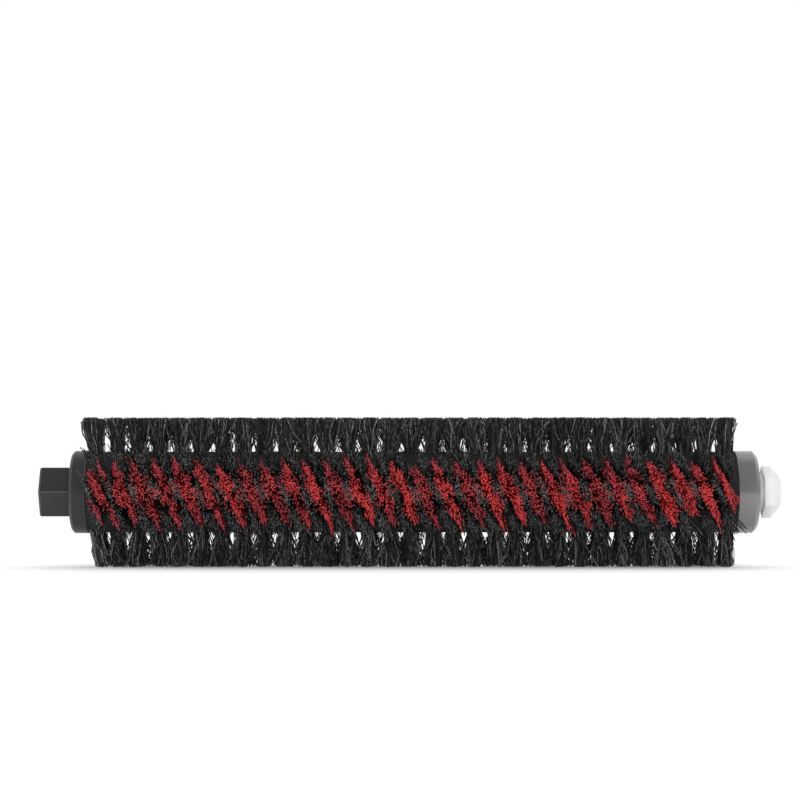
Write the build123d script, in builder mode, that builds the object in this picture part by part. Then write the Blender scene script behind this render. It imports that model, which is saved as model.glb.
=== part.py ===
from build123d import *
import os
from math import atan2, cos, degrees, radians, sin, sqrt, tan

# Bristle roller of a robot vacuum cleaner, in millimetres.
# The roller lies along X with its drive end at -X, and the origin is on its axis, halfway
# along the whole length. The main band of red and black tufts faces the front, which is -Y.

os.makedirs("parts", exist_ok=True)

# Core: a moulded bar with flat facets outside and a hexagonal bore
core_length = 172.6
core_radius = 10.8  # to the corners between the facets
facets_per_quarter = 4  # facets between the middle of the front and the top corner
bore_flats = 10.0

# Tufts: bundles of bristle set in pockets, one row to a facet
tip_radius = 20.4  # circle that the tips are trimmed to
tuft_pitch = 5.62  # along the roller
row_end_margin = 1.9  # from the end of the core to the middle of the first tuft
pocket_depth = 3.2
facet_margin = 0.375  # bare strip along each side of a pocketed facet

# Two bands, front and back, of slanted tufts: three rows each, red and black by turns
band_offset = 3.4  # the middle row's first red tuft, past the first fringe tuft
band_slant = 20.8  # degrees that the coloured lines lean from straight round the roller
row_gap = 0.6  # between the tips of neighbouring rows
tuft_gap = 0.2  # between the tips of a red tuft and a black one
red_root_width = 1.75
red_tip_width = 3.1
black_root_width = 1.3

# Two fringes, top and bottom, of black tufts: two rows each, that lean apart
fringe_root_width = 3.2
fringe_tip_gap = 0.3
fringe_tip_span = 3.2  # round the roller
fringe_lean = 1.05  # how far a tip stands to the side of its root

# End caps
collar_step = 0.2  # how far the collars stand proud of the core's corners
plug_length = 14.0
plug_clearance = 0.05
plug_chamfer = 0.8
drive_collar_length = 4.25
drive_collar_chamfer = 0.6
drive_hex_flats = 13.0
drive_hex_length = 8.5
drive_hex_chamfer = 0.4
idler_collar_length = 5.65
idler_collar_chamfer = 1.0

# Axle pin, bushing and the holder that the roller turns in
pin_radius = 2.0
pin_grip = 12.0  # length pressed into the idler cap
pin_head_radius = 2.5
pin_head_length = 0.8
head_clearance = 0.25
running_clearance = 0.05
axial_play = 0.25
washer_radius = 4.5
washer_thickness = 0.4
washer_clearance = 0.1
bushing_length = 4.2
seat_shoulder = 0.3  # step that stops the bushing in the holder
holder_standoff = 1.8  # from the idler collar to the holder's hexagon
holder_neck_radius = 5.0
holder_flats = 12.0
holder_hex_length = 4.7
nose_length = 2.4
nose_flats = 7.0

# Places along the axis
drive_cap_length = drive_hex_length + drive_collar_length
idler_length = idler_collar_length + holder_standoff + holder_hex_length
total_length = drive_cap_length + core_length + idler_length
drive_end = -total_length / 2
drive_face = drive_end + drive_hex_length
core_start = drive_face + drive_collar_length
core_end = core_start + core_length
idler_face = core_end + idler_collar_length
washer_face = idler_face + washer_thickness
holder_face = washer_face + axial_play
holder_hex_face = idler_face + holder_standoff
holder_end = total_length / 2
bushing_end = holder_face + bushing_length

# Facets and the shapes that follow from them
facet_count = 4 * facets_per_quarter + 2
row_step = 360 / facet_count
facet_radius = core_radius * cos(radians(row_step / 2))
facet_width = 2 * core_radius * sin(radians(row_step / 2))
root_span = facet_width - 2 * facet_margin
row_spacing = 2 * tip_radius * sin(radians(row_step / 2))
band_tip_span = row_spacing - row_gap
black_tip_width = tuft_pitch - red_tip_width - 2 * tuft_gap
fringe_tip_width = tuft_pitch - fringe_tip_gap
collar_radius = core_radius + collar_step
pin_head_recess = pin_head_radius + head_clearance
bushing_radius = pin_head_recess + seat_shoulder
nose_start = holder_end - nose_length
nose_taper = degrees(atan2((holder_flats - nose_flats) / 2, nose_length))


def make_tuft(root_width, tip_width, tip_span, slant=0.0, lean=0.0):
    """One tuft up the Z axis, where a profile seen from the side crosses one seen from the end.

    The sides slant by degrees from the Y axis, and lean moves the tip along Y.
    """
    root_height = facet_radius - pocket_depth
    tip_height = sqrt(tip_radius**2 - (abs(lean) + tip_span / 2) ** 2)
    with BuildPart() as tuft:
        with BuildSketch(Plane.XZ):
            Polygon(
                (0, root_height),
                (root_width / 2, facet_radius),
                (tip_width / 2, tip_height),
                (-tip_width / 2, tip_height),
                (-root_width / 2, facet_radius),
                align=None,
            )
        extrude(amount=tip_radius, dir=(-tan(radians(slant)), 1, 0), both=True)
        with BuildSketch(Plane.YZ):
            Polygon(
                (0, root_height),
                (root_span / 2, facet_radius),
                (lean + tip_span / 2, tip_height),
                (lean - tip_span / 2, tip_height),
                (-root_span / 2, facet_radius),
                align=None,
            )
        extrude(amount=tip_radius, both=True, mode=Mode.INTERSECT)
    return tuft.part


def row_places(angle, phase):
    """Tuft places on the facet at angle degrees above the front, phase past the first fringe tuft."""
    outwards = (0, -cos(radians(angle)), sin(radians(angle)))
    facet = Plane(origin=(core_start, 0, 0), x_dir=(1, 0, 0), z_dir=outwards)
    first = row_end_margin + phase % tuft_pitch
    count = 1 + int((core_length - row_end_margin - first) / tuft_pitch)
    return [facet.location * Pos(first + place * tuft_pitch, 0, 0) for place in range(count)]


# The rows, by name: the tuft that each holds and the places that it stands in
red_tuft = make_tuft(red_root_width, red_tip_width, band_tip_span, slant=band_slant)
black_tuft = make_tuft(black_root_width, black_tip_width, band_tip_span, slant=band_slant)
fringe_tuft_up = make_tuft(fringe_root_width, fringe_tip_width, fringe_tip_span, lean=fringe_lean)
fringe_tuft_down = make_tuft(fringe_root_width, fringe_tip_width, fringe_tip_span, lean=-fringe_lean)

row_shift = tan(radians(band_slant)) * row_spacing
rows = {}
for side, band_angle, names in (
    ("front", 0, ("lower", "middle", "upper")),
    ("back", 180, ("upper", "middle", "lower")),
):
    for steps_up, name in zip((-1, 0, 1), names):
        angle = band_angle + steps_up * row_step
        red_phase = band_offset - steps_up * row_shift
        rows[f"red_tufts_{side}_{name}"] = (red_tuft, row_places(angle, red_phase))
        rows[f"black_tufts_{side}_{name}"] = (black_tuft, row_places(angle, red_phase + tuft_pitch / 2))
for name, tuft, angle in (
    ("top_front", fringe_tuft_down, 90 - row_step / 2),
    ("top_back", fringe_tuft_up, 90 + row_step / 2),
    ("bottom_front", fringe_tuft_up, -90 + row_step / 2),
    ("bottom_back", fringe_tuft_down, -90 - row_step / 2),
):
    rows[f"fringe_tufts_{name}"] = (tuft, row_places(angle, 0))

# Tuft rows
for name, (tuft, places) in rows.items():
    with BuildPart() as tuft_row:
        with Locations(*places):
            add(tuft, clean=False)
    tuft_row.part.label = name
    export_step(tuft_row.part, f"parts/{name}.step")

# Core, with a pocket under each tuft
with BuildPart() as roller_core:
    with BuildSketch(Plane.YZ.offset(core_start)):
        RegularPolygon(core_radius, facet_count, rotation=row_step / 2)
        RegularPolygon(bore_flats / 2, 6, major_radius=False, mode=Mode.SUBTRACT)
    extrude(amount=core_length)
    for tuft, places in rows.values():
        with Locations(*places):
            add(tuft, clean=False, mode=Mode.SUBTRACT)
roller_core.part.label = "roller_core"
export_step(roller_core.part, "parts/roller_core.step")

# Drive end cap: hexagonal drive, collar and plug in one moulding
with BuildPart() as drive_end_cap:
    with BuildSketch(Plane.YZ.offset(drive_face)):
        Circle(collar_radius)
    extrude(amount=drive_collar_length)
    chamfer(drive_end_cap.edges().sort_by(Axis.X)[0], drive_collar_chamfer)
    with BuildSketch(Plane.YZ.offset(drive_end)):
        RegularPolygon(drive_hex_flats / 2, 6, major_radius=False)
    extrude(amount=drive_hex_length)
    chamfer(drive_end_cap.edges().group_by(Axis.X)[0], drive_hex_chamfer)
    with BuildSketch(Plane.YZ.offset(core_start)):
        RegularPolygon(bore_flats / 2 - plug_clearance, 6, major_radius=False)
    extrude(amount=plug_length)
    chamfer(drive_end_cap.edges().group_by(Axis.X)[-1], plug_chamfer)
drive_end_cap.part.label = "drive_end_cap"
export_step(drive_end_cap.part, "parts/drive_end_cap.step")

# Idler end cap: collar and plug, bored for the axle pin
with BuildPart() as idler_end_cap:
    with BuildSketch(Plane.YZ.offset(core_end)):
        Circle(collar_radius)
    extrude(amount=idler_collar_length)
    chamfer(idler_end_cap.edges().sort_by(Axis.X)[-1], idler_collar_chamfer)
    with BuildSketch(Plane.YZ.offset(core_end)):
        RegularPolygon(bore_flats / 2 - plug_clearance, 6, major_radius=False)
    extrude(amount=-plug_length)
    chamfer(idler_end_cap.edges().group_by(Axis.X)[0], plug_chamfer)
    with BuildSketch(Plane.YZ.offset(idler_face)):
        Circle(pin_radius)
    extrude(amount=-pin_grip, mode=Mode.SUBTRACT)
idler_end_cap.part.label = "idler_end_cap"
export_step(idler_end_cap.part, "parts/idler_end_cap.step")

# Headed axle pin, pressed into the idler cap
with BuildPart() as axle_pin:
    with BuildSketch(Plane.YZ.offset(idler_face - pin_grip)):
        Circle(pin_radius)
    extrude(amount=pin_grip + bushing_end + axial_play - idler_face)
    with BuildSketch(Plane.YZ.offset(bushing_end + axial_play)):
        Circle(pin_head_radius)
    extrude(amount=pin_head_length)
axle_pin.part.label = "axle_pin"
export_step(axle_pin.part, "parts/axle_pin.step")

# Thrust washer, flat on the idler collar
with BuildPart() as thrust_washer:
    with BuildSketch(Plane.YZ.offset(idler_face)):
        Circle(washer_radius)
        Circle(pin_radius + washer_clearance, mode=Mode.SUBTRACT)
    extrude(amount=washer_thickness)
thrust_washer.part.label = "thrust_washer"
export_step(thrust_washer.part, "parts/thrust_washer.step")

# Sleeve bushing, pressed into the holder
with BuildPart() as sleeve_bushing:
    with BuildSketch(Plane.YZ.offset(holder_face)):
        Circle(bushing_radius)
        Circle(pin_radius + running_clearance, mode=Mode.SUBTRACT)
    extrude(amount=bushing_length)
sleeve_bushing.part.label = "sleeve_bushing"
export_step(sleeve_bushing.part, "parts/sleeve_bushing.step")

# Bearing holder: a hexagon with a tapered nose and a round neck, flat side to the front
with BuildPart() as bearing_holder:
    with BuildSketch(Plane.YZ.offset(holder_hex_face)):
        RegularPolygon(holder_flats / 2, 6, major_radius=False, rotation=30)
    extrude(amount=nose_start - holder_hex_face)
    with BuildSketch(Plane.YZ.offset(nose_start)):
        RegularPolygon(holder_flats / 2, 6, major_radius=False, rotation=30)
    extrude(amount=nose_length, taper=nose_taper)
    with BuildSketch(Plane.YZ.offset(holder_face)):
        Circle(holder_neck_radius)
    extrude(amount=holder_hex_face - holder_face)
    with BuildSketch(Plane.YZ.offset(holder_face)):
        Circle(bushing_radius)
    extrude(amount=bushing_length, mode=Mode.SUBTRACT)
    with BuildSketch(Plane.YZ.offset(bushing_end)):
        Circle(pin_head_recess)
    extrude(amount=holder_end - bushing_end, mode=Mode.SUBTRACT)
bearing_holder.part.label = "bearing_holder"
export_step(bearing_holder.part, "parts/bearing_holder.step")
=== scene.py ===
# %% [markdown]
# # A vacuum roller brush, dressed for the studio
# The roller is a black bar set with tufts of nylon bristle. Red and black tufts make slanted
# lines along the front and the back, and black fringes stand at the top and the bottom.
# A dark grey cap with a drive hexagon closes the left end. At the right end a mid grey cap
# carries a pin, which turns in a small white holder.
#
# The solid parts come from the CAD frame and keep their meshes. This lesson gives them finishes,
# and grows real bristles in place of the plain solids that stand for the tufts.

# %% Load the frame
import itertools
import math

import bmesh
import bpy
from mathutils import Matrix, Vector


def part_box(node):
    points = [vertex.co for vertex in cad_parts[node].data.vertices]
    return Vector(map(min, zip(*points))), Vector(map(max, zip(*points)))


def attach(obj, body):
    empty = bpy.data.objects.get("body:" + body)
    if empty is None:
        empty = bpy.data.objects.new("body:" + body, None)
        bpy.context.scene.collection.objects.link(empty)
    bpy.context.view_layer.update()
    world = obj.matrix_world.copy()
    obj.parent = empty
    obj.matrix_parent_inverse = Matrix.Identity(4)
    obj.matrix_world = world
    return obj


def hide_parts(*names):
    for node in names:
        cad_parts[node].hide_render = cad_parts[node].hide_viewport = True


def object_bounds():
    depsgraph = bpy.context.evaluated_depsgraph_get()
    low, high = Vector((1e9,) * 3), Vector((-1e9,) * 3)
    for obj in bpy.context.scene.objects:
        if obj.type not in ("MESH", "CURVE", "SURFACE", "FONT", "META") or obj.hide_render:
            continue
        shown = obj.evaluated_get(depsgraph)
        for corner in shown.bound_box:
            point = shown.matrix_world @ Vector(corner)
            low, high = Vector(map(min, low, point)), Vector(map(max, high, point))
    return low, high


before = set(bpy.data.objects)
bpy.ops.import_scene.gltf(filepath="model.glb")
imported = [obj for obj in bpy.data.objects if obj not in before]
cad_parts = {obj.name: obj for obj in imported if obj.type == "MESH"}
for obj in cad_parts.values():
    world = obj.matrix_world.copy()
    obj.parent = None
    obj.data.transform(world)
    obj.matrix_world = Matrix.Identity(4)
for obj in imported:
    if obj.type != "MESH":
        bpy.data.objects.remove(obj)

cad_low, cad_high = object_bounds()
MM = 0.001
print("CAD box in mm:", [round(side / MM, 2) for side in cad_high - cad_low])

# %% [markdown]
# ## Small helpers for node trees
# Shaders and Geometry Nodes are both node trees, so the same helpers serve them all. The first
# fills a socket, either with a plain value or with a link from another node. The second adds a
# node, sets its own properties, and fills its sockets by name or by number. The last two are short
# for the nodes used most often, Math and Map Range.


# %% Helpers for node trees
def fill(tree, socket, value):
    """Links the socket when the value is another node's output, and sets it otherwise."""
    if isinstance(value, bpy.types.NodeSocket):
        tree.links.new(value, socket)
    else:
        socket.default_value = value


def add(tree, kind, inputs=None, **properties):
    """Adds a node of that kind with its properties set and its sockets filled."""
    node = tree.nodes.new(kind)
    for name, value in properties.items():
        setattr(node, name, value)
    for key, value in (inputs or {}).items():
        fill(tree, node.inputs[key], value)
    return node


def scalar(tree, operation, first, second=0.0):
    """The output of a Math node."""
    return add(tree, "ShaderNodeMath", {0: first, 1: second}, operation=operation).outputs["Value"]


def remap(tree, value, low, high, start=0.0, stop=1.0):
    """A number moved from the range start to stop into the range low to high, and kept inside it."""
    return add(tree, "ShaderNodeMapRange", {
        "Value": value, "From Min": start, "From Max": stop, "To Min": low, "To Max": high,
    }).outputs["Result"]


print("node helpers ready")

# %% [markdown]
# ## Moulded plastic
# Both caps, the core, the washer and the holder are injection moulded. Moulded plastic is never
# one flat colour: the melt leaves faint clouds some millimetres wide, the tool's steel leaves a
# fine grain, and edges are slightly rounded and paler, partly worn by rubbing and partly a painted
# highlight. One function makes every plastic. A wide noise drives the clouds, a narrow one the
# grain, and a Bevel node rounds the edges in shading alone. Where the rounded normal leaves the flat
# one, there is an edge, and the colour there moves towards the pale edge tone: worn plastic and painted
# highlight.


# %% Parts of a finish
EDGE_BEGINS = 0.998
EDGE_FULL = 0.9


def blank_material(name):
    """A new material, with its tree and its Principled shader."""
    material = bpy.data.materials.new(name)
    material.use_nodes = True
    tree = material.node_tree
    return material, tree, tree.nodes["Principled BSDF"]


def rgba(colour):
    """Adds full opacity to a plain colour. A linked colour stays as it is."""
    return colour if isinstance(colour, bpy.types.NodeSocket) else (*colour, 1)


def colour_between(tree, share, first, second):
    """A colour between two others, by the share of the second."""
    node = add(tree, "ShaderNodeMix", {0: share, 6: rgba(first), 7: rgba(second)}, data_type="RGBA")
    return node.outputs[2]


def edge_mask(tree, rounded):
    """0 on open faces and 1 along edges, from how far the rounded normal leaves the true one."""
    true_normal = add(tree, "ShaderNodeNewGeometry").outputs["True Normal"]
    agreement = add(tree, "ShaderNodeVectorMath", {0: rounded, 1: true_normal}, operation="DOT_PRODUCT")
    return remap(tree, agreement.outputs["Value"], low=0.0, high=1.0, start=EDGE_BEGINS, stop=EDGE_FULL)


def noise(tree, coordinates, size, detail=2.0):
    """Fractal noise, 0 to 1, with features about this size in metres."""
    return add(tree, "ShaderNodeTexNoise", {
        "Vector": coordinates, "Scale": 1.0 / size, "Detail": detail,
    }).outputs["Fac"]


print("a finish can now show edges and noise")

# %% Moulded plastic
CLOUD_SIZE = 9 * MM
RUB_AND_HIGHLIGHT_PATCH = 1.5 * MM
GRAIN_DEPTH = 0.03 * MM
GLOSS_SPREAD = 0.06


def moulded_plastic(name, dark, pale, rubbed_and_highlit, roughness, specular, grain=0.35 * MM, edge=0.3 * MM):
    """Injection moulded plastic, clouded between two tones, with pale edges that are partly worn and partly a
    painted highlight, and a fine grain.
    """
    material, tree, shader = blank_material(name)
    place = add(tree, "ShaderNodeTexCoord").outputs["Object"]
    rounded = add(tree, "ShaderNodeBevel", {"Radius": edge}, samples=8).outputs["Normal"]
    cloud = noise(tree, place, CLOUD_SIZE)
    body = colour_between(tree, cloud, dark, pale)
    # Pale edges: worn plastic and painted highlight together, broken up into patches.
    patches = remap(tree, noise(tree, place, RUB_AND_HIGHLIGHT_PATCH), low=0.5, high=1.0)
    wear_and_highlight = scalar(tree, "MULTIPLY", edge_mask(tree, rounded), patches)
    gloss = remap(tree, cloud, roughness - GLOSS_SPREAD, roughness + GLOSS_SPREAD)
    relief = add(tree, "ShaderNodeBump", {
        "Height": noise(tree, place, grain), "Strength": 0.25, "Distance": GRAIN_DEPTH, "Normal": rounded,
    }).outputs["Normal"]
    fill(tree, shader.inputs["Base Color"], colour_between(tree, wear_and_highlight, body, rubbed_and_highlit))
    fill(tree, shader.inputs["Roughness"], gloss)
    fill(tree, shader.inputs["Normal"], relief)
    shader.inputs["Specular IOR Level"].default_value = specular
    return material


print("moulded plastic is clouded every", round(CLOUD_SIZE / MM), "mm")

# %% [markdown]
# ## Core and caps
# The core is a dull black, the drive cap a satin dark grey with pale edges, which are worn plastic
# and painted highlight together, and the idler cap a glossier mid grey. The grey holds fine metal
# flake, so its shader is partly metallic, which draws the bands of light and dark that the real collar shows.


# %% Core and caps
def dress(node, material):
    """Gives a CAD node its finish. The mesh stays as the frame made it."""
    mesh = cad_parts[node].data
    mesh.materials.clear()
    mesh.materials.append(material)
    print(node, "is finished in", material.name)


core_plastic = moulded_plastic(
    "core_plastic", dark=(0.020, 0.020, 0.020), pale=(0.030, 0.030, 0.030),
    rubbed_and_highlit=(0.045, 0.045, 0.045), roughness=0.7, specular=0.15)
# The drive cap's pale edge tone is a painted highlight on its rounded edges as well as worn plastic.
drive_plastic = moulded_plastic(
    "drive_plastic", dark=(0.023, 0.023, 0.024), pale=(0.034, 0.034, 0.034),
    rubbed_and_highlit=(0.20, 0.20, 0.20), roughness=0.42, specular=0.35, edge=0.45 * MM)
idler_plastic = moulded_plastic(
    "idler_plastic", dark=(0.20, 0.20, 0.20), pale=(0.23, 0.23, 0.23),
    rubbed_and_highlit=(0.32, 0.32, 0.32), roughness=0.22, specular=0.9, grain=0.6 * MM)
idler_plastic.node_tree.nodes["Principled BSDF"].inputs["Metallic"].default_value = 0.45
dress("roller_core", core_plastic)
dress("drive_end_cap", drive_plastic)
dress("idler_end_cap", idler_plastic)

# %% [markdown]
# ## Natural plastics
# The holder and the washer carry no pigment, so light goes some way into them before it comes
# back. Subsurface scattering with a radius of about two millimetres gives that soft white. The rest
# is the moulded plastic from before.


# %% Natural plastics
def natural_plastic(name, dark, pale, rubbed_and_highlit, roughness):
    """Moulded plastic without pigment, which scatters light below its surface."""
    material = moulded_plastic(name, dark, pale, rubbed_and_highlit, roughness, specular=0.45, edge=0.25 * MM)
    shader = material.node_tree.nodes["Principled BSDF"]
    shader.inputs["Subsurface Weight"].default_value = 0.6
    shader.inputs["Subsurface Radius"].default_value = (1.0, 0.97, 0.92)
    shader.inputs["Subsurface Scale"].default_value = 2.0 * MM
    return material


holder_plastic = natural_plastic(
    "holder_plastic", dark=(0.83, 0.83, 0.82), pale=(0.88, 0.88, 0.87),
    rubbed_and_highlit=(0.92, 0.92, 0.92), roughness=0.38)
washer_nylon = natural_plastic(
    "washer_nylon", dark=(0.78, 0.78, 0.75), pale=(0.86, 0.86, 0.83),
    rubbed_and_highlit=(0.90, 0.90, 0.88), roughness=0.5)
dress("bearing_holder", holder_plastic)
dress("thrust_washer", washer_nylon)

# %% [markdown]
# ## Turned steel
# The axle pin is turned on a lathe, so fine rings run round its axis. The rings depend only on the
# distance along the roller on the shank, and on the distance from the axis on the head, so a noise
# of those two numbers draws both.


# %% Turned steel
LATHE_RING = 0.12 * MM


def turned_steel(name):
    """Steel with lathe rings about the X axis."""
    material, tree, shader = blank_material(name)
    place = add(tree, "ShaderNodeTexCoord").outputs["Object"]
    parts = add(tree, "ShaderNodeSeparateXYZ", {"Vector": place}).outputs
    upright = add(tree, "ShaderNodeCombineXYZ", {"Y": parts["Y"], "Z": parts["Z"]})
    off_axis = add(tree, "ShaderNodeVectorMath", {0: upright.outputs["Vector"]}, operation="LENGTH")
    lathe = add(tree, "ShaderNodeCombineXYZ", {"X": parts["X"], "Y": off_axis.outputs["Value"]})
    rings = noise(tree, lathe.outputs["Vector"], LATHE_RING)
    tone = colour_between(tree, rings, (0.42, 0.42, 0.43), (0.66, 0.66, 0.66))
    relief = add(tree, "ShaderNodeBump", {"Height": rings, "Strength": 0.3, "Distance": 0.01 * MM})
    fill(tree, shader.inputs["Base Color"], tone)
    fill(tree, shader.inputs["Roughness"], remap(tree, rings, low=0.22, high=0.4))
    fill(tree, shader.inputs["Normal"], relief.outputs["Normal"])
    shader.inputs["Metallic"].default_value = 1.0
    return material


dress("axle_pin", turned_steel("pin_steel"))

# %% [markdown]
# ## Sintered bronze
# The bushing is pressed from bronze powder: it is matt, speckled and pitted with the pores that
# hold its oil. Noise makes the speckle, and the cells of a Voronoi texture make good pores.


# %% Sintered bronze
POWDER = 0.4 * MM
PORE = 0.3 * MM


def sintered_bronze(name):
    """Bronze pressed from powder, speckled and full of fine pores."""
    material, tree, shader = blank_material(name)
    place = add(tree, "ShaderNodeTexCoord").outputs["Object"]
    speckle = noise(tree, place, POWDER, detail=4.0)
    tone = colour_between(tree, speckle, (0.30, 0.17, 0.07), (0.60, 0.42, 0.20))
    pores = add(tree, "ShaderNodeTexVoronoi", {"Vector": place, "Scale": 1.0 / PORE})
    relief = add(tree, "ShaderNodeBump", {
        "Height": pores.outputs["Distance"], "Strength": 0.4, "Distance": 0.03 * MM})
    fill(tree, shader.inputs["Base Color"], tone)
    fill(tree, shader.inputs["Roughness"], remap(tree, speckle, low=0.4, high=0.6))
    fill(tree, shader.inputs["Normal"], relief.outputs["Normal"])
    shader.inputs["Metallic"].default_value = 1.0
    return material


dress("sleeve_bushing", sintered_bronze("bushing_bronze"))

# %% [markdown]
# ## Nylon bristle
# A bristle is a single drawn filament. Filaments from one spool differ a little in tone, and each
# is paler at its cut tip, where the blade left it rough. The bristles below carry two numbers of
# their own, made along with the shape: `shade`, which differs from filament to filament and also
# holds painted shade and painted light, and `along`, which runs from 0 at the root to 1 at the tip.
# The material reads both as attributes, so the colour follows each filament wherever it goes. A fine
# noise breaks the tone up along the filament into painted glints, small pale spots where crimped
# nylon would catch the light, and the rare pale black filaments are painted glints as well.


# %% Nylon bristle
GLINT_SIZE = 0.6 * MM
SHEEN_PATCH = 2 * MM
SHEEN_SPREAD = 0.1
CUT_BEGINS = 0.9
CUT_SHARE = 0.2


def bristle_nylon(name, deep, bright, tip, rarity, glint_strength, roughness, specular):
    """Drawn nylon filament, spread from deep to bright, with the bright ones rare or common."""
    material, tree, shader = blank_material(name)
    shade = add(tree, "ShaderNodeAttribute", attribute_name="shade").outputs["Fac"]
    along = add(tree, "ShaderNodeAttribute", attribute_name="along").outputs["Fac"]
    place = add(tree, "ShaderNodeTexCoord").outputs["Object"]
    rare = scalar(tree, "POWER", shade, rarity)
    # Painted glints: a fine noise lightens the tone in small spots where crimped nylon would catch the light.
    painted_glints = remap(
        tree, noise(tree, place, GLINT_SIZE), low=1.0 - glint_strength, high=1.0 + glint_strength, start=0.35, stop=0.65)
    spread = colour_between(tree, scalar(tree, "MULTIPLY", rare, painted_glints), deep, bright)
    cut = remap(tree, along, low=0.0, high=CUT_SHARE, start=CUT_BEGINS)
    gloss = remap(tree, noise(tree, place, SHEEN_PATCH), roughness - SHEEN_SPREAD, roughness + SHEEN_SPREAD)
    fill(tree, shader.inputs["Base Color"], colour_between(tree, cut, spread, tip))
    fill(tree, shader.inputs["Roughness"], gloss)
    shader.inputs["Specular IOR Level"].default_value = specular
    return material


red_nylon = bristle_nylon(
    "red_bristle", deep=(0.24, 0.042, 0.058), bright=(0.94, 0.080, 0.080), tip=(0.85, 0.11, 0.12),
    rarity=1.0, glint_strength=0.2, roughness=0.42, specular=0.2)
# The pale end of the black range, which few filaments reach, is a painted glint.
black_nylon = bristle_nylon(
    "black_bristle", deep=(0.021, 0.021, 0.021), bright=(0.27, 0.267, 0.27), tip=(0.10, 0.10, 0.10),
    rarity=4.0, glint_strength=1.0, roughness=0.38, specular=0.45)
print("bristle finishes:", red_nylon.name, "and", black_nylon.name)

# %% [markdown]
# ## Where the tufts stand
# Each tuft in the CAD frame is a small solid with a pointed root, a four-cornered outline where it
# leaves the core, and a wider four-cornered outline at its trimmed tip. Those outlines are all that
# bristles need, so nothing about the pattern is typed in twice. A copy of each row's mesh is welded
# and split into its tufts, and the corners are told apart by their distance from the axis. Corners
# at the same distance are put in order by their place, so that every run gives the same result.


# %% Split a row into tufts
WELD = 0.001 * MM


def split_tufts(node):
    """The corner points of each tuft of a row, from the tuft's pointed root outwards."""
    row = bmesh.new()
    row.from_mesh(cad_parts[node].data)
    bmesh.ops.remove_doubles(row, verts=row.verts, dist=WELD)
    waiting = set(row.verts)
    tufts = []
    while waiting:
        found = {waiting.pop()}
        edge_of_search = list(found)
        while edge_of_search:
            corner = edge_of_search.pop()
            for edge in corner.link_edges:
                other = edge.other_vert(corner)
                if other not in found:
                    found.add(other)
                    edge_of_search.append(other)
        waiting -= found
        points = [corner.co.copy() for corner in found]
        tufts.append(sorted(points, key=lambda point: (math.hypot(point.y, point.z), *point)))
    row.free()
    return sorted(tufts, key=lambda points: points[0].x)


print("the front middle row has", len(split_tufts("red_tufts_front_middle")), "red tufts")

# %% [markdown]
# ## One vertex for each tuft
# A vertex at each root carries both outlines as named attributes. It also carries a number that is
# about -1 at the row's left end and 1 at its right end, and near 0 elsewhere, because the last tufts
# have no neighbour to hold them and lean. The fringes are trimmed level and not round, so the tip
# outlines of their tufts are moved to the height of the outermost corner.


# %% One vertex for each tuft
END_SHARPNESS = 15
OUTLINES = ("root", "root_along", "root_across", "tip", "tip_along", "tip_across")


def outline(corners, across):
    """A four-cornered outline's middle and its half sides along the roller and across the row."""
    middle = sum(corners, Vector()) / 4
    upper = sorted((c for c in corners if (c - middle).dot(across) > 0), key=lambda c: c.x)
    return middle, (upper[1] - upper[0]) / 2, (upper[0] + upper[1]) / 2 - middle


def levelled(corners):
    """A tip outline trimmed level, at the height of its outermost corner."""
    height = max((corner.z for corner in corners), key=abs)
    return [Vector((corner.x, corner.y, height)) for corner in corners]


def places_mesh(name, facts):
    """One vertex at each root, with the other facts stored on it as vectors."""
    mesh = bpy.data.meshes.new(name)
    roots = facts["root"]
    mesh.from_pydata(roots, [], [])
    farthest = max(abs(root.x) for root in roots)
    ends = mesh.attributes.new("row_end", "FLOAT", "POINT")
    ends.data.foreach_set("value", [(root.x / farthest) ** END_SHARPNESS for root in roots])
    for fact in OUTLINES[1:]:
        store = mesh.attributes.new(fact, "FLOAT_VECTOR", "POINT")
        store.data.foreach_set("vector", [number for vector in facts[fact] for number in vector])
    return mesh


def tuft_mesh(node, level_trim=False):
    """The places of a row's tufts, with both outlines of each."""
    facts = {fact: [] for fact in OUTLINES}
    for points in split_tufts(node):
        root_middle = sum(points[1:5], Vector()) / 4
        outward = Vector((0, root_middle.y, root_middle.z)).normalized()
        across = outward.cross(Vector((1, 0, 0)))
        tip_corners = levelled(points[5:9]) if level_trim else points[5:9]
        for end, corners in (("root", points[1:5]), ("tip", tip_corners)):
            middle, half_along, half_across = outline(corners, across)
            facts[end].append(middle)
            facts[end + "_along"].append(half_along)
            facts[end + "_across"].append(half_across)
    return places_mesh(node + "_places", facts)


print("each tuft keeps", ", ".join(OUTLINES))

# %% [markdown]
# ## The bristle tree
# A hair system could grow bristles too, but its strands are only lines until they are converted,
# and their number in each tuft is left to chance. A Geometry Nodes tree gives every tuft the same
# count. Each tuft's vertex is duplicated once for each bristle, a line of a few points is placed on
# every duplicate, and the line is bent along the bristle's path and given a three-sided section.
# The next cells build the tree from its parts. Every random choice has a name, and its place in the
# list of draws is added to the row's seed, so that no two choices repeat each other.


# %% Helpers for the bristle tree
DRAWS = (
    "lock", "own spot", "lock root", "lock tip", "stray", "lock lean", "own tone", "lock tone",
    "line tone", "bend", "own trim", "lock trim", "crimp",
)


def vector(tree, operation, first, second):
    """The output of a Vector Math node."""
    return add(tree, "ShaderNodeVectorMath", {0: first, 1: second}, operation=operation).outputs["Vector"]


def scaled(tree, value, factor):
    """A vector times a number."""
    node = add(tree, "ShaderNodeVectorMath", {0: value, "Scale": factor}, operation="SCALE")
    return node.outputs["Vector"]


def stored(tree, name, kind="FLOAT_VECTOR"):
    """A named attribute of the geometry."""
    node = add(tree, "GeometryNodeInputNamedAttribute", {"Name": name}, data_type=kind)
    return node.outputs["Attribute"]


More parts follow.
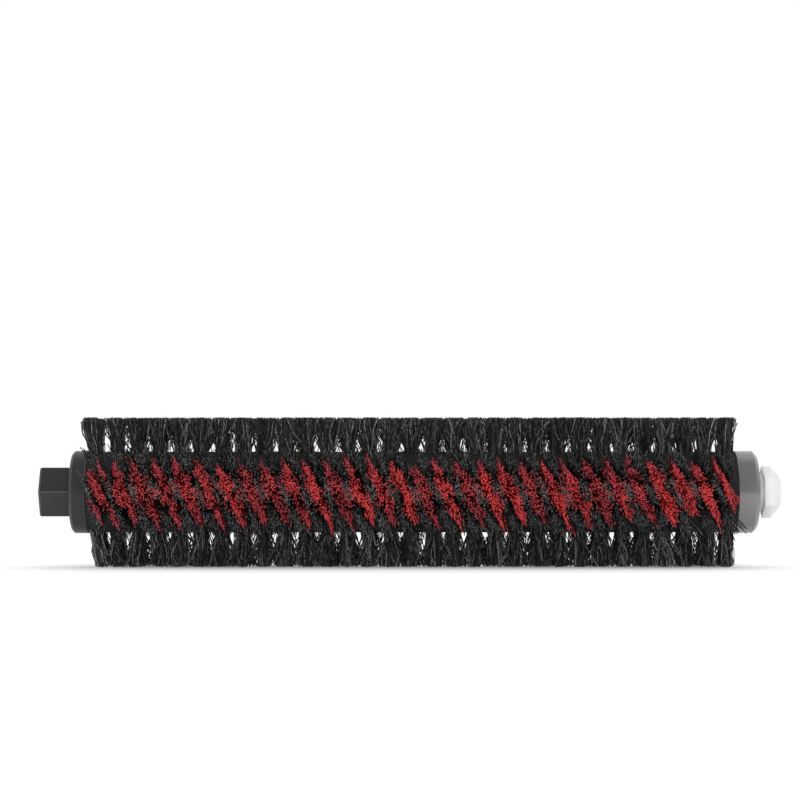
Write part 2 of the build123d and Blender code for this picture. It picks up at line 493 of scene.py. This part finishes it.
def keep(tree, geometry, name, value, kind="FLOAT_VECTOR"):
    """Stores a value on the geometry's points under a name."""
    node = add(tree, "GeometryNodeStoreNamedAttribute", {
        "Geometry": geometry, "Name": name, "Value": value}, data_type=kind, domain="POINT")
    return node.outputs["Geometry"]


def draw(tree, seed, choice, owner=None):
    """Three random numbers from -1 to 1 for each bristle, or shared by all bristles of one owner."""
    inputs = {0: (-1, -1, -1), 1: (1, 1, 1), "Seed": scalar(tree, "ADD", seed, DRAWS.index(choice))}
    if owner is not None:
        inputs["ID"] = owner
    return add(tree, "FunctionNodeRandomValue", inputs, data_type="FLOAT_VECTOR").outputs["Value"]


def parts_of(tree, value):
    """The X, Y and Z outputs of a vector."""
    return add(tree, "ShaderNodeSeparateXYZ", {"Vector": value}).outputs


def mix(tree, share, first, second):
    """A number between two numbers, by the share of the second."""
    return add(tree, "ShaderNodeMix", {0: share, 2: first, 3: second}).outputs[0]


print("the bristle tree makes", len(DRAWS), "random draws")

# %% [markdown]
# ## Locks
# Bristles cling together in locks. Every bristle draws the lock that it belongs to. A lock has a
# spot of its own in the root outline and another in the tip outline, so that locks cross, and its
# bristles scatter round both spots.


# %% Locks
CORNER_STRETCH = 0.2


def lock_number(tree, inputs):
    """The number of each bristle's lock, counted through all the tufts of a row."""
    chance = parts_of(tree, draw(tree, inputs["Seed"], "lock"))["X"]
    share = scalar(tree, "ADD", scalar(tree, "MULTIPLY", chance, 0.5), 0.5)
    own = scalar(tree, "FLOOR", scalar(tree, "MULTIPLY", share, inputs["Locks per tuft"]))
    first = scalar(tree, "MULTIPLY", stored(tree, "tuft", "INT"), inputs["Locks per tuft"])
    return scalar(tree, "ADD", first, own)


def spot_in_tuft(tree, seed, choice, owner=None):
    """Two numbers, about -1 to 1: a random spot in a square with well rounded corners."""
    chance = parts_of(tree, draw(tree, seed, choice, owner))
    turn = scalar(tree, "MULTIPLY", chance["X"], math.pi)
    spread = scalar(tree, "POWER", scalar(tree, "ABSOLUTE", chance["Y"]), 0.5)
    corner = scalar(tree, "SINE", scalar(tree, "MULTIPLY", turn, 2.0))
    nearness = scalar(tree, "MULTIPLY", corner, corner)
    stretch = scalar(tree, "ADD", scalar(tree, "MULTIPLY", nearness, CORNER_STRETCH), 1.0)
    reach = scalar(tree, "MULTIPLY", spread, stretch)
    return (scalar(tree, "MULTIPLY", scalar(tree, "COSINE", turn), reach),
            scalar(tree, "MULTIPLY", scalar(tree, "SINE", turn), reach))


def mixed_spot(tree, share, first, second):
    """A spot between two random spots. The division keeps mixed spots as widely spread as the others."""
    rest = scalar(tree, "SUBTRACT", 1.0, share)
    share_squared = scalar(tree, "MULTIPLY", share, share)
    rest_squared = scalar(tree, "MULTIPLY", rest, rest)
    spread = scalar(tree, "SQRT", scalar(tree, "ADD", share_squared, rest_squared))
    return [scalar(tree, "DIVIDE", mix(tree, share, one, other), spread) for one, other in zip(first, second)]


def spot_place(tree, middle, half_along, half_across, spot):
    """The place of a spot inside an outline."""
    placed = vector(tree, "ADD", middle, scaled(tree, half_along, spot[0]))
    return vector(tree, "ADD", placed, scaled(tree, half_across, spot[1]))


print("a spot is two numbers, along the roller and across the row")

# %% [markdown]
# ## Where a bristle ends
# Most tips stand in the tip outline, which can be widened, tapered towards either side and moved
# across the row. A few locks lean far to one side and a few bristles stray, because those random
# pushes are raised to the fifth power. The tufts at a row's ends lean as a whole.


# %% Where a bristle ends
def rare_push(tree, chance, reach):
    """A random push that is mostly small and rarely as far as its reach."""
    squared = vector(tree, "MULTIPLY", chance, chance)
    fifth_power = vector(tree, "MULTIPLY", chance, vector(tree, "MULTIPLY", squared, squared))
    return parts_of(tree, scaled(tree, fifth_power, reach))


def end_lean(tree, inputs):
    """How far the tips of the row's end tufts lean along the roller."""
    nearness = stored(tree, "row_end", "FLOAT")
    left = scalar(tree, "MULTIPLY", scalar(tree, "MINIMUM", nearness, 0.0), inputs["Left end lean"])
    right = scalar(tree, "MULTIPLY", scalar(tree, "MAXIMUM", nearness, 0.0), inputs["Right end lean"])
    return add(tree, "ShaderNodeCombineXYZ", {"X": scalar(tree, "SUBTRACT", right, left)}).outputs["Vector"]


def tapered_width(tree, inputs, across, held):
    """The width of the tips at this place across the row, as a share of the tip outline's."""
    upper = scalar(tree, "MULTIPLY", scalar(tree, "MAXIMUM", across, 0.0), inputs["Taper up"])
    lower = scalar(tree, "MULTIPLY", scalar(tree, "MINIMUM", across, 0.0), inputs["Taper down"])
    width = scalar(tree, "ADD", scalar(tree, "SUBTRACT", 1.0, upper), lower)
    width = scalar(tree, "MULTIPLY", width, inputs["Tip width"])
    return scalar(tree, "MULTIPLY", width, mix(tree, held, inputs["End width"], 1.0))


def tip_place(tree, inputs, spot, lock):
    """Each bristle's calm end, a spot in the tapered tip outline, and its end pushed and leaned."""
    along, across = spot
    held = scalar(tree, "SUBTRACT", 1.0, scalar(tree, "ABSOLUTE", stored(tree, "row_end", "FLOAT")))
    calm_along = scalar(tree, "MULTIPLY", along, tapered_width(tree, inputs, across, held))
    level = add(tree, "ShaderNodeMapRange", {
        "Value": across, "From Min": -1.0, "To Min": inputs["Tip low"], "To Max": inputs["Tip high"],
    }, clamp=False).outputs["Result"]
    own_push = rare_push(tree, draw(tree, inputs["Seed"], "stray"), inputs["Stray"])
    lock_push = rare_push(tree, draw(tree, inputs["Seed"], "lock lean", lock), inputs["Lock lean"])
    sideways = scalar(tree, "MULTIPLY", scalar(tree, "ADD", own_push["X"], lock_push["X"]), held)
    pushed = (scalar(tree, "ADD", calm_along, sideways), scalar(tree, "ADD", level, own_push["Y"]))
    tip = [stored(tree, name) for name in ("tip", "tip_along", "tip_across")]
    calm = spot_place(tree, *tip, (calm_along, level))
    return calm, vector(tree, "ADD", spot_place(tree, *tip, pushed), end_lean(tree, inputs))


print("a tip is a spot in the tip outline, pushed and leaned")

# %% [markdown]
# ## The path, the length and the tone
# A path is a curve from a start inside the core past a bend to an end. In a fringe the bend is
# moved so that the tuft stands straight over its root and splays only near its tips, which leaves
# tall openings between the tufts. Tips are cut unevenly, and the edges of a tuft can be cut shorter
# and given painted shade. The tone comes from the slanted line of tufts, from the lock and from the
# bristle, because some lines of the real roller are bright and others dim, and each row's limits on
# the tone paint light on some rows and shade on others.


# %% The path, the length and the tone
EDGE_POWER = 6.0
TRIM_POWER = 3.0
TONE_LIMIT = 0.7


def path_ends(tree, inputs, root_spot, tip_spot, lock):
    """The start, the bend and the end of each bristle's path."""
    root = add(tree, "GeometryNodeInputPosition").outputs["Position"]
    start = spot_place(tree, root, stored(tree, "root_along"), stored(tree, "root_across"), root_spot)
    axis = vector(tree, "SUBTRACT", stored(tree, "tip"), root)
    start = vector(tree, "SUBTRACT", start, scaled(tree, axis, inputs["Root depth"]))
    calm, end = tip_place(tree, inputs, tip_spot, lock)
    above = vector(tree, "ADD", start, scaled(tree, axis, scalar(tree, "ADD", inputs["Root depth"], 1.0)))
    half_splay = scalar(tree, "MULTIPLY", inputs["Splay"], 0.5)
    uprighted = scaled(tree, vector(tree, "SUBTRACT", above, calm), half_splay)
    bend = vector(tree, "ADD", scaled(tree, vector(tree, "ADD", start, end), 0.5), uprighted)
    bend = vector(tree, "ADD", bend, scaled(tree, draw(tree, inputs["Seed"], "bend", lock), inputs["Bend"]))
    return {"start": start, "bend": bend, "end": end}


def cut_length(tree, inputs, off_middle, lock):
    """The share of the path that is left after the trim."""
    rounded = scalar(tree, "MULTIPLY", scalar(tree, "POWER", off_middle, EDGE_POWER), inputs["Edge trim"])
    own = scalar(tree, "ABSOLUTE", parts_of(tree, draw(tree, inputs["Seed"], "own trim"))["X"])
    of_lock = scalar(tree, "ABSOLUTE", parts_of(tree, draw(tree, inputs["Seed"], "lock trim", lock))["X"])
    uneven = scalar(tree, "POWER", mix(tree, 0.5, own, of_lock), TRIM_POWER)
    shorter = scalar(tree, "MULTIPLY", uneven, inputs["Trim spread"])
    cut_off = scalar(tree, "ADD", scalar(tree, "ADD", inputs["Trim"], shorter), rounded)
    return scalar(tree, "SUBTRACT", 1.0, cut_off)


def bristle_shade(tree, inputs, off_middle, lock):
    """A tone from the line, the lock and the bristle, with painted shade at the edges, between the row's
    limits, which paint light and shade on some rows.
    """
    own = parts_of(tree, draw(tree, inputs["Seed"], "own tone"))["X"]
    of_lock = parts_of(tree, draw(tree, inputs["Seed"], "lock tone", lock))["X"]
    line = scalar(tree, "ADD", stored(tree, "tuft", "INT"), inputs["Line shift"])
    of_line = parts_of(tree, draw(tree, inputs["Line seed"], "line tone", line))["X"]
    tone = mix(tree, inputs["Line tone"], mix(tree, inputs["Lock tone"], own, of_lock), of_line)
    # Painted shade: bristles towards a tuft's edges are darkened, as if shadowed by their neighbours.
    painted_shade_at_edge = scalar(tree, "MULTIPLY", off_middle, off_middle)
    tone = scalar(tree, "SUBTRACT", tone, scalar(tree, "MULTIPLY", painted_shade_at_edge, inputs["Painted edge shade"]))
    return remap(tree, tone, inputs["Dimmest"], inputs["Brightness"], -TONE_LIMIT, TONE_LIMIT)


print("each bristle starts inside its root outline and ends near its tip outline")


# %% Store each bristle's facts
def choose_paths(tree, points, inputs):
    """Stores the path of each bristle, its crimp, its shade and its length on its point."""
    seed = inputs["Seed"]
    lock = lock_number(tree, inputs)
    own_spot = spot_in_tuft(tree, seed, "own spot")
    lock_root = spot_in_tuft(tree, seed, "lock root", lock)
    lock_tip = mixed_spot(tree, inputs["Crossing"], lock_root, spot_in_tuft(tree, seed, "lock tip", lock))
    root_spot = mixed_spot(tree, inputs["Gather"], own_spot, lock_root)
    tip_spot = mixed_spot(tree, inputs["Gather"], own_spot, lock_tip)
    off_middle = scalar(tree, "MINIMUM", scalar(tree, "ABSOLUTE", tip_spot[0]), 1.0)
    for name, place in path_ends(tree, inputs, root_spot, tip_spot, lock).items():
        points = keep(tree, points, name, place)
    points = keep(tree, points, "crimp", scaled(tree, draw(tree, seed, "crimp"), inputs["Crimp"]))
    points = keep(tree, points, "shade", bristle_shade(tree, inputs, off_middle, lock), "FLOAT")
    return keep(tree, points, "length", cut_length(tree, inputs, off_middle, lock), "FLOAT")


print("a bristle's point keeps start, bend, end, crimp, shade and length")

# %% [markdown]
# ## From points to bristles
# The crimp is a wave that is strongest in the outer half of a bristle and fades to nothing at both
# ends, so that it neither closes the openings over the core nor lifts the trimmed tips.


# %% Follow the path
CRIMP_TURN = 2.5 * math.pi
FULL_TURN = 2 * math.pi


def path_place(tree):
    """The place of a bristle's point on the curve from its start past its bend to its end."""
    factor = add(tree, "GeometryNodeSplineParameter").outputs["Factor"]
    run = scalar(tree, "MULTIPLY", factor, stored(tree, "length", "FLOAT"))
    rest = scalar(tree, "SUBTRACT", 1.0, run)
    at_start = scaled(tree, stored(tree, "start"), scalar(tree, "MULTIPLY", rest, rest))
    middle = scalar(tree, "MULTIPLY", scalar(tree, "MULTIPLY", run, rest), 2.0)
    at_bend = scaled(tree, stored(tree, "bend"), middle)
    at_end = scaled(tree, stored(tree, "end"), scalar(tree, "MULTIPLY", run, run))
    phase = scalar(tree, "ADD", scalar(tree, "MULTIPLY", factor, CRIMP_TURN),
                   scalar(tree, "MULTIPLY", stored(tree, "shade", "FLOAT"), FULL_TURN))
    towards_tip = scalar(tree, "MULTIPLY", factor, factor)
    swing = scalar(tree, "SINE", scalar(tree, "MULTIPLY", towards_tip, math.pi))
    wave = scaled(tree, stored(tree, "crimp"), scalar(tree, "MULTIPLY", scalar(tree, "SINE", phase), swing))
    smooth = vector(tree, "ADD", vector(tree, "ADD", at_start, at_bend), at_end)
    return vector(tree, "ADD", smooth, wave), factor


print("the crimp turns", CRIMP_TURN / FULL_TURN, "times along a bristle")

# %% Name the tree's inputs
BRISTLE_INPUTS = {
    "Bristles per tuft": ("NodeSocketInt", 70),
    "Locks per tuft": ("NodeSocketInt", 12),
    "Bristle radius": ("NodeSocketFloat", 0.14 * MM),
    "Root depth": ("NodeSocketFloat", 0.1),
    "Gather": ("NodeSocketFloat", 0.7),
    "Crossing": ("NodeSocketFloat", 0.5),
    "Lock lean": ("NodeSocketFloat", 0.5),
    "Stray": ("NodeSocketFloat", 0.5),
    "Splay": ("NodeSocketFloat", 0.0),
    "Bend": ("NodeSocketFloat", 0.5 * MM),
    "Crimp": ("NodeSocketFloat", 0.4 * MM),
    "Tip width": ("NodeSocketFloat", 1.0),
    "Tip low": ("NodeSocketFloat", -1.0),
    "Tip high": ("NodeSocketFloat", 1.0),
    "Taper up": ("NodeSocketFloat", 0.0),
    "Taper down": ("NodeSocketFloat", 0.0),
    "Left end lean": ("NodeSocketFloat", -0.4 * MM),
    "Right end lean": ("NodeSocketFloat", 0.8 * MM),
    "End width": ("NodeSocketFloat", 0.6),
    "Trim": ("NodeSocketFloat", 0.016),
    "Trim spread": ("NodeSocketFloat", 0.08),
    "Edge trim": ("NodeSocketFloat", 0.0),
    "Painted edge shade": ("NodeSocketFloat", 0.0),
    "Lock tone": ("NodeSocketFloat", 0.5),
    "Line tone": ("NodeSocketFloat", 0.15),
    "Line shift": ("NodeSocketInt", 0),
    "Line seed": ("NodeSocketInt", 1),
    # Dimmest and Brightness bound a row's tone. Moved from 0 and 1, they paint light on some rows and shade
    # on others.
    "Dimmest": ("NodeSocketFloat", 0.0),
    "Brightness": ("NodeSocketFloat", 1.0),
    "Points": ("NodeSocketInt", 4),
    "Seed": ("NodeSocketInt", 1),
}
print("the tree has", len(BRISTLE_INPUTS), "named sizes")


# %% Build the tree
def bristle_tree():
    """The tree that turns one vertex for each tuft into that tuft's bristles."""
    tree = bpy.data.node_groups.new("tuft_bristles", "GeometryNodeTree")
    tree.interface.new_socket("Tufts", in_out="INPUT", socket_type="NodeSocketGeometry")
    for name, (kind, value) in BRISTLE_INPUTS.items():
        tree.interface.new_socket(name, in_out="INPUT", socket_type=kind).default_value = value
    tree.interface.new_socket("Nylon", in_out="INPUT", socket_type="NodeSocketMaterial")
    tree.interface.new_socket("Bristles", in_out="OUTPUT", socket_type="NodeSocketGeometry")
    inputs = add(tree, "NodeGroupInput").outputs
    tuft_number = add(tree, "GeometryNodeInputIndex").outputs["Index"]
    numbered = keep(tree, inputs["Tufts"], "tuft", tuft_number, "INT")
    copies = add(tree, "GeometryNodeDuplicateElements", {
        "Geometry": numbered, "Amount": inputs["Bristles per tuft"]}, domain="POINT")
    points = choose_paths(tree, copies.outputs["Geometry"], inputs)
    line = add(tree, "GeometryNodeCurvePrimitiveLine").outputs["Curve"]
    line = add(tree, "GeometryNodeResampleCurve", {"Curve": line, "Count": inputs["Points"]}).outputs["Curve"]
    lines = add(tree, "GeometryNodeInstanceOnPoints", {
        "Points": points, "Instance": line}).outputs["Instances"]
    lines = add(tree, "GeometryNodeRealizeInstances", {"Geometry": lines}).outputs["Geometry"]
    place, factor = path_place(tree)
    lines = add(tree, "GeometryNodeSetPosition", {"Geometry": lines, "Position": place}).outputs["Geometry"]
    lines = keep(tree, lines, "along", factor, "FLOAT")
    section = add(tree, "GeometryNodeCurvePrimitiveCircle", {
        "Resolution": 3, "Radius": inputs["Bristle radius"]}).outputs["Curve"]
    skin = add(tree, "GeometryNodeCurveToMesh", {
        "Curve": lines, "Profile Curve": section, "Fill Caps": True}).outputs["Mesh"]
    skin = add(tree, "GeometryNodeSetShadeSmooth", {"Geometry": skin}).outputs["Geometry"]
    skin = add(tree, "GeometryNodeRealizeInstances", {"Geometry": skin}).outputs["Geometry"]
    skin = add(tree, "GeometryNodeSetMaterial", {"Geometry": skin, "Material": inputs["Nylon"]})
    add(tree, "NodeGroupOutput", {"Bristles": skin.outputs["Geometry"]})
    return tree


TREE = bristle_tree()
SOCKETS = {item.name: item.identifier for item in TREE.interface.items_tree if item.in_out == "INPUT"}
print("the tree has", len(TREE.nodes), "nodes")

# %% [markdown]
# ## Growing a row
# A modifier runs the tree on a row's vertices. Its inputs are set by their sockets' identifiers, and
# the evaluated result is copied into a plain mesh. That mesh replaces the row's solids and turns with
# the roller.


# %% Growing a row
def grow(name, places, nylon, sizes):
    """Grows bristles on a mesh of places and lets them turn with the roller."""
    carrier = bpy.data.objects.new(name + "_places", places)
    bpy.context.scene.collection.objects.link(carrier)
    modifier = carrier.modifiers.new("bristles", "NODES")
    modifier.node_group = TREE
    modifier[SOCKETS["Nylon"]] = nylon
    for label, value in sizes.items():
        modifier[SOCKETS[label]] = value
    evaluated = carrier.evaluated_get(bpy.context.evaluated_depsgraph_get())
    mesh = bpy.data.meshes.new_from_object(evaluated)
    bpy.data.objects.remove(carrier)
    mesh.name = name
    piece = bpy.data.objects.new(name, mesh)
    bpy.context.scene.collection.objects.link(piece)
    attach(piece, "roller")
    print(name, "has", len(mesh.polygons), "faces")
    return piece


def grow_row(colour, row, nylon, sizes, level_trim=False):
    """Grows one row of bristles in place of the row's solids."""
    node = f"{colour}_tufts_{row}"
    piece = grow(f"{colour}_bristles_{row}", tuft_mesh(node, level_trim), nylon, sizes)
    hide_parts(node)


print("a row grows on its own vertices")

# %% [markdown]
# ## Red and black bands
# Each band has three rows, and red and black tufts take turns in every row. The red tufts of the
# middle row are the thickest. In the outer rows the red tips lean towards the middle row and narrow
# outwards, while the black ones reach and spread outwards, so that the red lines end in points. All
# the red tufts of one slanted line share a line number and so a part of their tone. In one of the
# outer rows the tufts are counted from one place earlier, which the shift makes good.

# %% Sizes of the bands
# Painted light: the middle rows' dimmest tone is raised, on red tufts that face the front lamp and on black
# ones in the shade between the red lines.
RED_MIDDLE = {
    "Bristles per tuft": 170, "Points": 3, "Bristle radius": 0.17 * MM, "Locks per tuft": 16,
    "Tip width": 1.75, "Tip low": -1.2, "Tip high": 1.2, "Taper up": 0.3, "Taper down": 0.3,
    "Lock lean": 0.25, "Stray": 0.8, "Bend": 0.6 * MM, "Right end lean": 0.6 * MM,
    "Lock tone": 0.9, "Line tone": 0.5, "Painted edge shade": 0.5, "Dimmest": 0.25,
}
BLACK_MIDDLE = {
    "Bristles per tuft": 130, "Points": 3, "Locks per tuft": 14, "Tip width": 1.2, "Stray": 0.8,
    "Right end lean": 1.5 * MM, "Dimmest": 0.5,
}
RED_OUTER = {
    "Bristles per tuft": 90, "Points": 3, "Bristle radius": 0.16 * MM, "Locks per tuft": 9,
    "Tip width": 0.8, "Lock lean": 0.25, "Stray": 0.8, "Left end lean": 2.5 * MM, "Right end lean": 0.0,
    "Lock tone": 0.9, "Line tone": 0.5, "Painted edge shade": 0.5,
}
BLACK_OUTER = {
    "Bristles per tuft": 150, "Points": 3, "Locks per tuft": 20, "Gather": 0.6, "Stray": 1.2,
    "Lock lean": 1.0, "Left end lean": -1.8 * MM, "Right end lean": 0.2 * MM, "End width": 1.3,
    "Lock tone": 0.3,
}
RED_TIPS = {"inner": -1.3, "taper_inner": -0.9, "taper_outer": 0.85}
RED_REACH = {"upper": 0.3, "lower": 0.7}
# Painted shade: the outer red rows end their tone range below the middle row's, the upper ones lower still,
# as rows turned away from the light.
RED_PAINTED_SHADE = {"upper": 0.63, "lower": 0.95}
BLACK_TIPS = {"inner": -0.6, "outer": 1.45, "taper_inner": 0.0, "taper_outer": -1.9}
LINE_SEEDS = {"front": 7, "back": 8}


def outer_row(upwards, inner, outer, taper_inner, taper_outer):
    """Where the tips of an outer row lie and how they taper, from its inner to its outer side."""
    if upwards:
        return {"Tip low": inner, "Tip high": outer, "Taper down": taper_inner, "Taper up": taper_outer}
    return {"Tip low": -outer, "Tip high": -inner, "Taper down": taper_outer, "Taper up": taper_inner}


print("bands:", ", ".join(LINE_SEEDS))

# %% Grow the bands
SEED_STEP = 20  # more than the number of draws, so that no two rows share one
seeds = itertools.count(SEED_STEP, SEED_STEP)
for side, line_seed in LINE_SEEDS.items():
    line = {"Line seed": line_seed}
    red = RED_MIDDLE | line | {"Seed": next(seeds)}
    grow_row("red", f"{side}_middle", red_nylon, red)
    black = BLACK_MIDDLE | {"Seed": next(seeds)}
    grow_row("black", f"{side}_middle", black_nylon, black)
    for level, reach in RED_REACH.items():
        upwards = (level == "upper") == (side == "front")
        line["Line shift"] = 0 if upwards else -1
        tips = outer_row(upwards, outer=reach, **RED_TIPS)
        red = RED_OUTER | tips | line | {"Brightness": RED_PAINTED_SHADE[level], "Seed": next(seeds)}
        grow_row("red", f"{side}_{level}", red_nylon, red)
        black = BLACK_OUTER | outer_row(upwards, **BLACK_TIPS) | {"Seed": next(seeds)}
        grow_row("black", f"{side}_{level}", black_nylon, black)

# %% [markdown]
# ## Fringes
# The fringe tufts spread until they meet their neighbours near the tips, which leaves a row of small
# openings along the core. Their bristles have one point more than the others, because they are
# longer and more crimped. The end tufts of the upper and the lower fringe lean differently, and the
# lower fringe's filaments are painted brighter, painted light for its less lit side.

# %% Grow the fringes
FRINGE = {
    "Bristles per tuft": 130, "Bristle radius": 0.16 * MM, "Locks per tuft": 18, "Splay": 1.0,
    "Gather": 0.75, "Crossing": 0.85, "Lock lean": 0.6, "Stray": 2.0, "Bend": 0.5 * MM,
    "Crimp": 1.0 * MM, "End width": 1.15, "Lock tone": 0.2,
}
FRINGE_ENDS = {
    "top": {"Edge trim": 0.12, "Left end lean": -0.9 * MM, "Right end lean": -0.4 * MM},
    "bottom": {
        "Edge trim": 0.45, "Tip width": 0.91, "Left end lean": 2.5 * MM, "Right end lean": -0.6 * MM,
        # Painted light: the bottom fringe's pale filaments are made brighter, for its less lit lower side.
        "Brightness": 1.12,
    },
}
for side, ends in FRINGE_ENDS.items():
    for lean in ("front", "back"):
        sizes = FRINGE | ends | {"Seed": next(seeds)}
        grow_row("fringe", f"{side}_{lean}", black_nylon, sizes, level_trim=True)

# %% [markdown]
# ## Loose bristles on the drive collar
# Two bristles at the left end have come loose from the front and lie over the collar. They grow from
# the same tree, on a mesh with a single place: it starts at the first black tuft of the front, and its
# tip lies just clear of the collar.

# %% Loose bristles on the drive collar
core_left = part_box("roller_core")[0].x
collar_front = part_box("drive_end_cap")[0].y
first_black = tuft_mesh("black_tufts_front_middle").vertices[0].co.copy()
loose_place = places_mesh("loose_places", {
    "root": [first_black],
    "root_along": [Vector((0.3 * MM, 0, 0))],
    "root_across": [Vector((0, 0, 0.6 * MM))],
    "tip": [Vector((core_left - 1.7 * MM, collar_front - 0.5 * MM, 2.0 * MM))],
    "tip_along": [Vector((0.6 * MM, 0, 0))],
    "tip_across": [Vector((0, 0, 0.9 * MM))],
})
grow("loose_bristles", loose_place, black_nylon, {
    "Bristles per tuft": 2, "Locks per tuft": 2, "Lock lean": 0.0, "Stray": 0.0, "Bend": 0.1 * MM,
    "Crimp": 0.1 * MM, "Left end lean": 0.0, "Seed": 3})

# %% [markdown]
# ## The floor
# The roller lies on its lower fringe on a white table. A white floor that is only lit can turn grey
# where the lamps fade, so the floor adds a little glow that lights nothing and only shows, and further
# out it fades into the white of the surroundings. The shadow under the roller stays.


# %% The floor
FLOOR_SIZE = 3.0
FADE_BEGINS = 0.25
FADE_ENDS = 0.6
FLOOR_GLOW = 0.25


def seen_directly(tree):
    """1 for what the camera, a reflection or a see-through surface shows, and 0 for what only lights."""
    path = add(tree, "ShaderNodeLightPath").outputs
    shown = scalar(tree, "MAXIMUM", path["Is Camera Ray"], path["Is Glossy Ray"])
    return scalar(tree, "MAXIMUM", shown, path["Is Transmission Ray"])


def white_floor():
    """A plain white table, fading out well away from the roller."""
    material, tree, shader = blank_material("white_table")
    place = add(tree, "ShaderNodeTexCoord").outputs["Object"]
    away = add(tree, "ShaderNodeVectorMath", {0: place}, operation="LENGTH").outputs["Value"]
    fade = add(tree, "ShaderNodeMapRange", {
        "Value": away, "From Min": FADE_BEGINS, "From Max": FADE_ENDS}, interpolation_type="SMOOTHSTEP")
    glow = add(tree, "ShaderNodeEmission", {
        "Strength": scalar(tree, "MULTIPLY", seen_directly(tree), FLOOR_GLOW)})
    shader.inputs["Base Color"].default_value = (0.93, 0.93, 0.93, 1)
    shader.inputs["Roughness"].default_value = 0.9
    shader.inputs["Specular IOR Level"].default_value = 0.1
    lit = add(tree, "ShaderNodeAddShader", {0: shader.outputs["BSDF"], 1: glow.outputs["Emission"]})
    clear = add(tree, "ShaderNodeBsdfTransparent")
    whole = add(tree, "ShaderNodeMixShader", {
        0: fade.outputs["Result"], 1: lit.outputs["Shader"], 2: clear.outputs["BSDF"]})
    fill(tree, tree.nodes["Material Output"].inputs["Surface"], whole.outputs["Shader"])
    return material


half = FLOOR_SIZE / 2
corners = [(-half, -half), (half, -half), (half, half), (-half, half)]
floor_mesh = bpy.data.meshes.new("floor")
floor_mesh.from_pydata([(x, y, cad_low.z) for x, y in corners], [], [(0, 1, 2, 3)])
floor_mesh.materials.append(white_floor())
floor = bpy.data.objects.new("floor", floor_mesh)
bpy.context.scene.collection.objects.link(floor)
print("floor at", round(cad_low.z / MM, 2), "mm")

# %% [markdown]
# ## The room
# The surroundings are white: the camera and see-through surfaces meet white, and so do reflections
# of what lies behind the roller. The rest of the room is dimmer in reflections, as a real room is,
# which keeps the black bristles black and puts bands of light and dark on the grey collar. The
# surroundings also give an even base light.


# %% The room
BASE_LIGHT = 0.8
DIM_FRONT = 0.3
FULLY_BEHIND = 0.4
scene = bpy.context.scene
scene.view_settings.view_transform = "Standard"


def white_room():
    """White surroundings, at full strength where they are seen and softer where they light."""
    world = bpy.data.worlds.new("white_room")
    world.use_nodes = True
    tree = world.node_tree
    soft = tree.nodes["Background"]
    soft.inputs["Color"].default_value = (1, 1, 1, 1)
    soft.inputs["Strength"].default_value = BASE_LIGHT
    direction = add(tree, "ShaderNodeTexCoord").outputs["Generated"]
    depth = add(tree, "ShaderNodeSeparateXYZ", {"Vector": direction}).outputs["Y"]
    reflected = remap(tree, depth, low=DIM_FRONT, high=1.0, start=0.0, stop=FULLY_BEHIND)
    looked_at = add(tree, "ShaderNodeLightPath").outputs["Is Camera Ray"]
    strength = scalar(tree, "MAXIMUM", reflected, looked_at)
    white = add(tree, "ShaderNodeBackground", {"Color": (1, 1, 1, 1), "Strength": strength})
    both = add(tree, "ShaderNodeMixShader", {
        0: seen_directly(tree), 1: soft.outputs["Background"], 2: white.outputs["Background"]})
    fill(tree, tree.nodes["World Output"].inputs["Surface"], both.outputs["Shader"])
    return world


scene.world = white_room()
print("the room gives a base light of", BASE_LIGHT)

# %% [markdown]
# ## Lamps
# Three large area lamps add the soft direction of a studio. The strongest stands behind the camera,
# one hangs above, and one stands behind the roller for views from the back. All three stay out of
# reflections, where their bright shapes would show on the glossy collar.


# %% Lamps
def area_lamp(name, place, width, height, watts):
    """A soft rectangular lamp that faces the roller."""
    data = bpy.data.lights.new(name, "AREA")
    data.shape = "RECTANGLE"
    data.size = width
    data.size_y = height
    data.energy = watts
    lamp = bpy.data.objects.new(name, data)
    lamp.location = place
    lamp.rotation_euler = (-Vector(place)).to_track_quat("-Z", "Y").to_euler()
    lamp.visible_glossy = False
    scene.collection.objects.link(lamp)
    print(name, "gives", watts, "W")


area_lamp("front_softbox", place=(-0.15, -1.1, 0.03), width=1.2, height=0.3, watts=6.3)
area_lamp("top_softbox", place=(0.1, 0.45, 0.9), width=0.9, height=0.6, watts=1.1)
area_lamp("back_softbox", place=(0.1, 1.1, 0.1), width=0.8, height=0.3, watts=1.5)

# %% [markdown]
# ## The camera
# The photograph looks straight at the roller's side, level with its axis, from about 0.6 m. The
# roller sits below the middle of the picture and a touch to the right, so the camera stands a
# little to the left and looks slightly upwards. The focal length is given in pixels of the picture,
# and the width of the sensor turns it into millimetres.

# %% The camera
PICTURE = 800
VIEW_DISTANCE = 0.617
FOCAL_PIXELS = 2300
ROLLER_RIGHT_OF_MIDDLE = 10.5
ROLLER_BELOW_MIDDLE = 92

camera_data = bpy.data.cameras.new("camera")
camera_data.sensor_width = 36
camera_data.lens = camera_data.sensor_width * FOCAL_PIXELS / PICTURE
camera = bpy.data.objects.new("camera", camera_data)
camera.location = (-VIEW_DISTANCE * ROLLER_RIGHT_OF_MIDDLE / FOCAL_PIXELS, -VIEW_DISTANCE, 0)
camera.rotation_euler = (math.pi / 2 + math.atan(ROLLER_BELOW_MIDDLE / FOCAL_PIXELS), 0, 0)
scene.collection.objects.link(camera)
scene.camera = camera
print("lens in mm:", round(camera_data.lens, 1))
